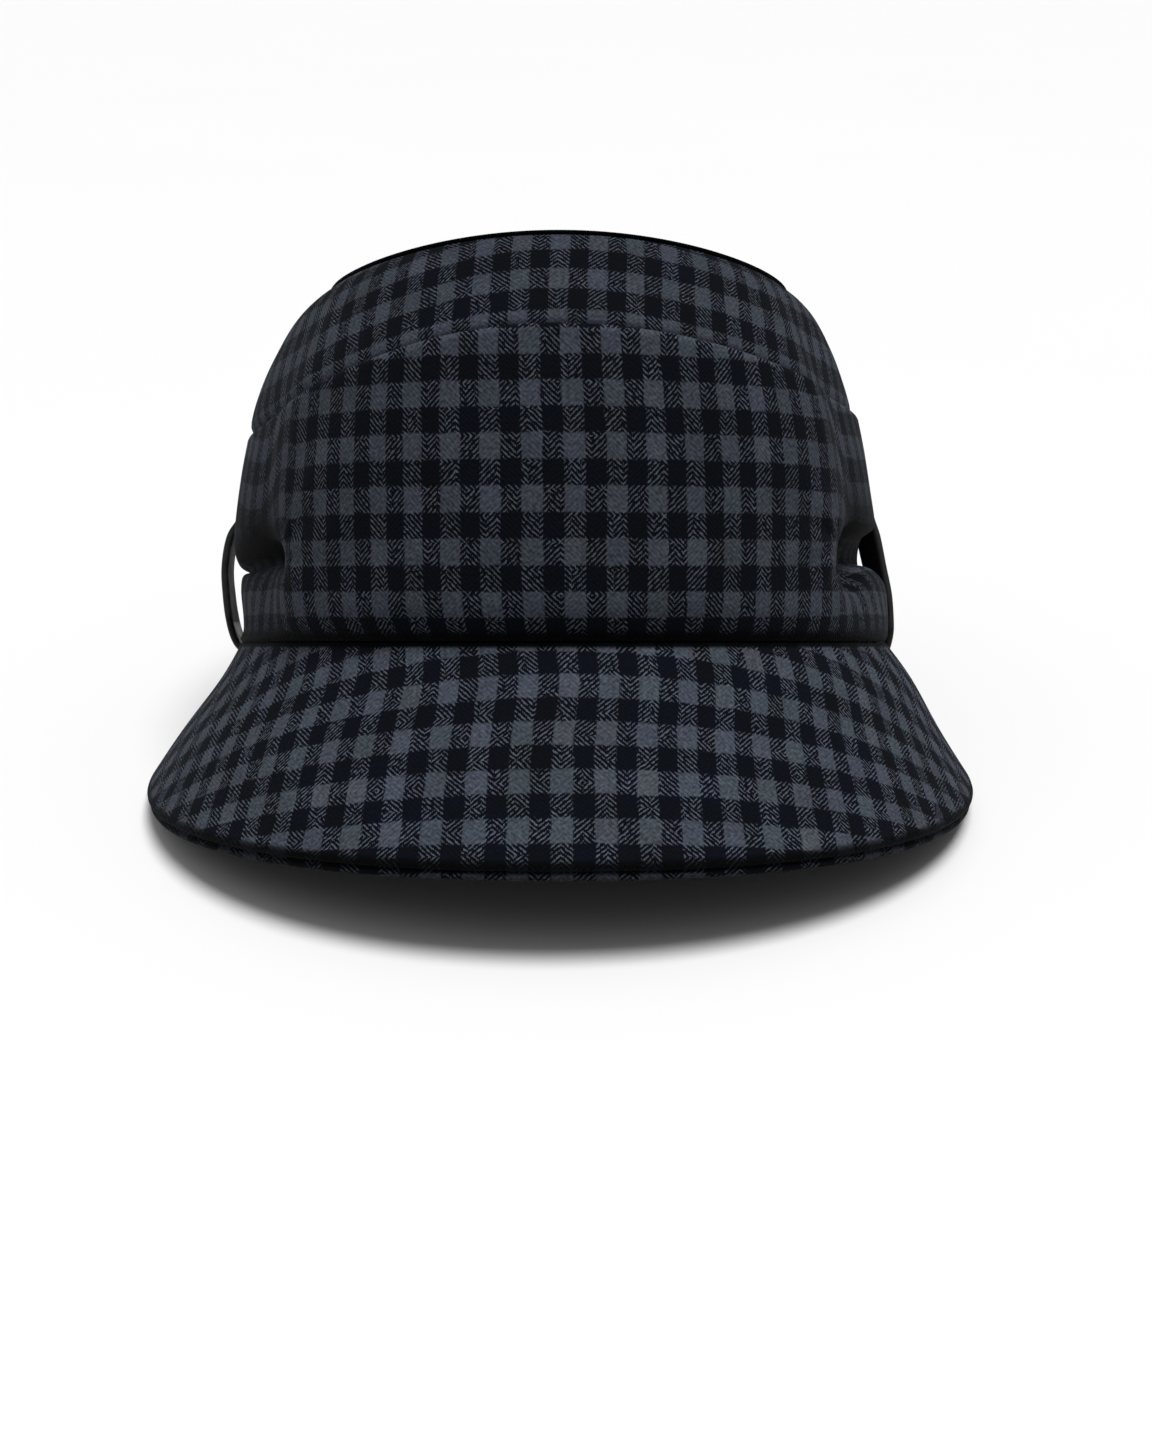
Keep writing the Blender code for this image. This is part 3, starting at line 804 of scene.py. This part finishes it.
def gingham(name, check, light_at, shade):
    """Brushed wool twill in a gingham check: solid light and dark cells, hatched mixed ones.

    light_at is where the middle of a light stripe lies across and up, and shade how bright the
    piece is painted, mostly painted light and shade for how it faces the light."""
    cloth = Nodes(name)
    place = cloth.add("UVMap", uv_map="grain").outputs[0]
    parts = cloth.add("SeparateXYZ", (place,)).outputs
    across, up = parts[0], parts[1]
    waver = cloth.noise(place, WAVER[0], 2.0)
    waver = cloth.maths("MULTIPLY", cloth.maths("SUBTRACT", waver, 0.5), WAVER[1])

    lights, cells = [], []
    for length, repeat, start in ((across, check[0], light_at[0]), (up, check[1], light_at[1])):
        moved = cloth.maths("SUBTRACT", cloth.maths("ADD", length, waver), start)
        turns = cloth.maths("DIVIDE", moved, repeat)
        wave = cloth.maths("COSINE", cloth.maths("MULTIPLY", turns, 2 * math.pi))
        lights.append(cloth.soft_step(wave, -STRIPE_EDGE, STRIPE_EDGE))
        halves = cloth.maths("ADD", cloth.maths("MULTIPLY", turns, 2.0), 0.5)
        cells.append(cloth.maths("FLOOR", halves))

    cell = cloth.add("CombineXYZ", (cells[0], cells[1], 0.5)).outputs[0]
    chance = cloth.add("TexWhiteNoise", (cell,), noise_dimensions="3D").outputs[0]
    patches = []
    for length, size in ((across, HERRINGBONE[0]), (up, HERRINGBONE[1])):
        patches.append(cloth.maths("FLOOR", cloth.maths("DIVIDE", length, size)))
    turning = cloth.add("CombineXYZ", (patches[0], patches[1], 1.5)).outputs[0]
    turning = cloth.add("TexWhiteNoise", (turning,), noise_dimensions="3D").outputs[0]
    leaning = cloth.maths("MULTIPLY", cloth.maths("GREATER_THAN", turning, 0.5), 2.0)
    leaning = cloth.maths("SUBTRACT", leaning, 1.0)
    diagonal = cloth.maths("ADD", cloth.maths("MULTIPLY", across, leaning), up)
    ribs = cloth.maths("MULTIPLY", diagonal, 2 * math.pi / (TWILL * math.sqrt(2)))
    jitter = cloth.maths("MULTIPLY", cloth.noise(place, RIB_DRIFT[0], 1.0), RIB_DRIFT[1])
    rib_wave = cloth.maths("SINE", cloth.maths("ADD", ribs, jitter))
    picks = cloth.maths("SINE", cloth.maths("MULTIPLY", across, 2 * math.pi / (TWILL / 2)))
    fleck = cloth.maths("SUBTRACT", cloth.noise(place, FLECKS[0], 1.0), 0.5)
    thread_wave = cloth.maths("ADD", rib_wave, cloth.maths("MULTIPLY", picks, PICKS))
    thread_wave = cloth.maths("ADD", thread_wave, cloth.maths("MULTIPLY", fleck, FLECKS[1]))
    hatch = cloth.soft_step(thread_wave, *HATCH)

    both = cloth.maths("MULTIPLY", lights[0], lights[1])
    either = cloth.maths("MAXIMUM", lights[0], lights[1])
    mixed = cloth.maths("MULTIPLY", cloth.maths("SUBTRACT", either, both), hatch)
    share = cloth.maths("ADD", both, cloth.maths("MULTIPLY", mixed, HATCH_PALE))

    fibre = cloth.noise(place, FIBRES, 3.0)
    patch = cloth.noise(place, CLOUDS, 3.0)
    drift = cloth.noise(cell, CELL_DRIFT, 0.0)
    light = cloth.mix(cloth.soft_step(drift, 0.35, 0.65), LIGHT_YARN, GREEN_YARN)
    light = cloth.mix(cloth.soft_step(chance, 0.6, 1.0, 0.0, 0.5), light, GREY_YARN)
    dark = cloth.mix(cloth.soft_step(patch, 0.35, 0.65), DARK_YARN, NAVY_YARN)
    ribbed = cloth.soft_step(thread_wave, -1.2, 1.2, 0.82, 1.14)
    # Real tone from fibres, ribs and cloudy patches, to be multiplied by painted shade and painted
    # light
    tone_and_painted_light = cloth.maths("MULTIPLY", cloth.soft_step(fibre, 0.3, 0.7, 0.66, 1.34), ribbed)
    tone_and_painted_light = cloth.maths("MULTIPLY", tone_and_painted_light, cloth.soft_step(patch, 0.3, 0.7, 0.88, 1.12))
    # The marks map: its first part darkens the cloth as painted shade at seams, creases and edges,
    # its second brightens it as a painted highlight
    marks = cloth.add("UVMap", uv_map="marks").outputs[0]
    marks = cloth.add("SeparateXYZ", (marks,)).outputs
    painted_shade = cloth.soft_step(marks[0], 0.0, 1.0, 1.0, HOLLOW_SHADE)
    tone_and_painted_light = cloth.maths("MULTIPLY", tone_and_painted_light, painted_shade)
    # A painted highlight below the wrap's fold, on each piece's painted brightness
    painted_light_gain = cloth.soft_step(marks[1], 0.0, 1.0, shade, PAINTED_HIGHLIGHT_GAIN * shade)
    tone_and_painted_light = cloth.maths("MULTIPLY", tone_and_painted_light, painted_light_gain)
    tint = cloth.add("VectorMath", (cloth.mix(share, dark, light),), operation="SCALE")
    cloth.put(tint.inputs["Scale"], tone_and_painted_light)
    cloth.put(cloth.shader.inputs["Base Color"], tint.outputs[0])
    cloth.put(cloth.shader.inputs["Roughness"], cloth.soft_step(fibre, 0.3, 0.7, 0.82, 0.97))
    cloth.shader.inputs["Specular IOR Level"].default_value = 0.05
    cloth.shader.inputs["Sheen Weight"].default_value = 0.015
    cloth.shader.inputs["Sheen Roughness"].default_value = 0.4
    cloth.shader.inputs["Sheen Tint"].default_value = (0.80, 0.86, 1.0, 1.0)
    woven = cloth.maths("MULTIPLY", thread_wave, 0.18)
    relief = cloth.maths("ADD", woven, cloth.maths("MULTIPLY", fibre, 1.1))
    relief = cloth.maths("ADD", relief, cloth.maths("MULTIPLY", patch, 0.7))
    cloth.bump(relief, FUZZ, 0.75)
    return cloth.material


def leather():
    """Smooth black leather with a satin shine, fine pores and paler worn edges."""
    hide = Nodes("strap_leather")
    place = hide.add("UVMap", uv_map="grain").outputs[0]
    across = hide.add("SeparateXYZ", (place,)).outputs[1]
    inner = STRAP_WIDTH - STRAP_LEATHER
    from_middle = hide.maths("ABSOLUTE", hide.maths("SUBTRACT", across, inner / 2))
    edge = hide.soft_step(from_middle, inner / 2 - EDGE_WEAR, inner / 2 + EDGE_WEAR)
    pores = hide.add("TexVoronoi", (place,), feature="F1")
    pores.inputs["Scale"].default_value = PORES
    cloudy = hide.noise(place, LEATHER_CLOUDS, 4.0)
    wear = hide.maths("MULTIPLY", edge, hide.soft_step(cloudy, 0.3, 0.6, 0.45, 1.0))
    hide.put(hide.shader.inputs["Base Color"], hide.mix(wear, LEATHER, LEATHER_EDGE))
    rough = hide.soft_step(cloudy, 0.3, 0.7, 0.30, 0.44)
    rough = hide.maths("ADD", rough, hide.maths("MULTIPLY", edge, 0.2))
    hide.put(hide.shader.inputs["Roughness"], rough)
    hide.shader.inputs["Specular IOR Level"].default_value = 0.2
    grain = hide.maths("ADD", pores.outputs[0], hide.maths("MULTIPLY", cloudy, 1.4))
    hide.bump(grain, 0.0001, 0.5)
    return hide.material


def plain_finish(name, colour, roughness):
    """A floor's finish: one colour with the faintest cloudiness."""
    made = Nodes(name)
    place = made.add("TexCoord").outputs["Object"]
    cloudy = made.noise(place, 3.0, 3.0)
    second = tuple(part * 0.985 for part in colour)
    made.put(made.shader.inputs["Base Color"], made.mix(cloudy, colour, second))
    rough = made.soft_step(cloudy, 0.3, 0.7, roughness, roughness + 0.05)
    made.put(made.shader.inputs["Roughness"], rough)
    return made.material


def floor():
    """A level pale floor, far wider than the view."""
    mesh = bpy.data.meshes.new("floor")
    sides = ((-1, -1), (1, -1), (1, 1), (-1, 1))
    corners = [(x * FLOOR_REACH, y * FLOOR_REACH, 0.0) for x, y in sides]
    mesh.from_pydata(corners, [], [(0, 1, 2, 3)])
    mesh.materials.append(plain_finish("floor_finish", FLOOR_COLOUR, 0.7))
    made = bpy.data.objects.new("floor", mesh)
    bpy.context.scene.collection.objects.link(made)


def sun(name, azimuth, elevation, strength, softness):
    """A soft distant light from an angle right of the camera and above the floor."""
    lamp = bpy.data.lights.new(name, "SUN")
    lamp.energy = strength
    lamp.angle = math.radians(softness)
    made = bpy.data.objects.new(name, lamp)
    turn, rise = math.radians(azimuth), math.radians(elevation)
    level = math.cos(rise)
    towards = Vector((math.sin(turn) * level, -math.cos(turn) * level, math.sin(rise)))
    made.rotation_euler = towards.to_track_quat("Z", "Y").to_euler()
    bpy.context.scene.collection.objects.link(made)


def light_and_camera():
    """A pale even sky, two soft suns and the camera, placed from the cap's own frame."""
    world = bpy.data.worlds.new("studio")
    world.use_nodes = True
    backdrop = world.node_tree.nodes["Background"]
    backdrop.inputs["Color"].default_value = (1.0, 1.0, 1.0, 1.0)
    backdrop.inputs["Strength"].default_value = SKY_STRENGTH
    bpy.context.scene.world = world
    sun("key", *KEY_SUN)
    sun("fill", *FILL_SUN)
    bpy.context.scene.view_settings.view_transform = "Standard"

    lens = bpy.data.cameras.new("camera")
    lens.lens = CAMERA_LENS
    lens.sensor_width = CAMERA_SENSOR
    camera = bpy.data.objects.new("camera", lens)
    cap = Matrix.Translation(CAP_PLACE) @ Matrix.Rotation(-CAP_TILT, 4, "X")
    away = Matrix.Translation((0.0, -CAMERA_DISTANCE, 0.0))
    turned = Matrix.Rotation(-CAMERA_YAW, 4, "Z")
    tipped = Matrix.Rotation(math.radians(90) - CAMERA_DROP, 4, "X")
    camera.matrix_world = cap @ away @ turned @ tipped
    bpy.context.scene.collection.objects.link(camera)
    bpy.context.scene.camera = camera


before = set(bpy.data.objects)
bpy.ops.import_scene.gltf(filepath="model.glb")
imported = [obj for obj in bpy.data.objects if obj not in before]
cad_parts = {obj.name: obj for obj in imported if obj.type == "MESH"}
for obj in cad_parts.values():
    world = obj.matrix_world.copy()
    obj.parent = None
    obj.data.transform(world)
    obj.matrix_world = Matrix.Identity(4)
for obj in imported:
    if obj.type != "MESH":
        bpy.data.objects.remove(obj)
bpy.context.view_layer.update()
light_and_camera()
floor()
wrap_piece()
side_piece()
tip_piece()
peak_piece("peak_cloth", "peak", 0.0, 0.0, 0.0)
peak_piece("peak_lining", "peak_under", PEAK_CLOTH + CLEARANCE, UNDER_LIP, UNDER_FLANGE)
strap_finish = leather()
strap_piece("left_strap", "strap_left", -1, strap_finish)
strap_piece("right_strap", "strap_right", 1, strap_finish.copy())
bpy.context.view_layer.update()
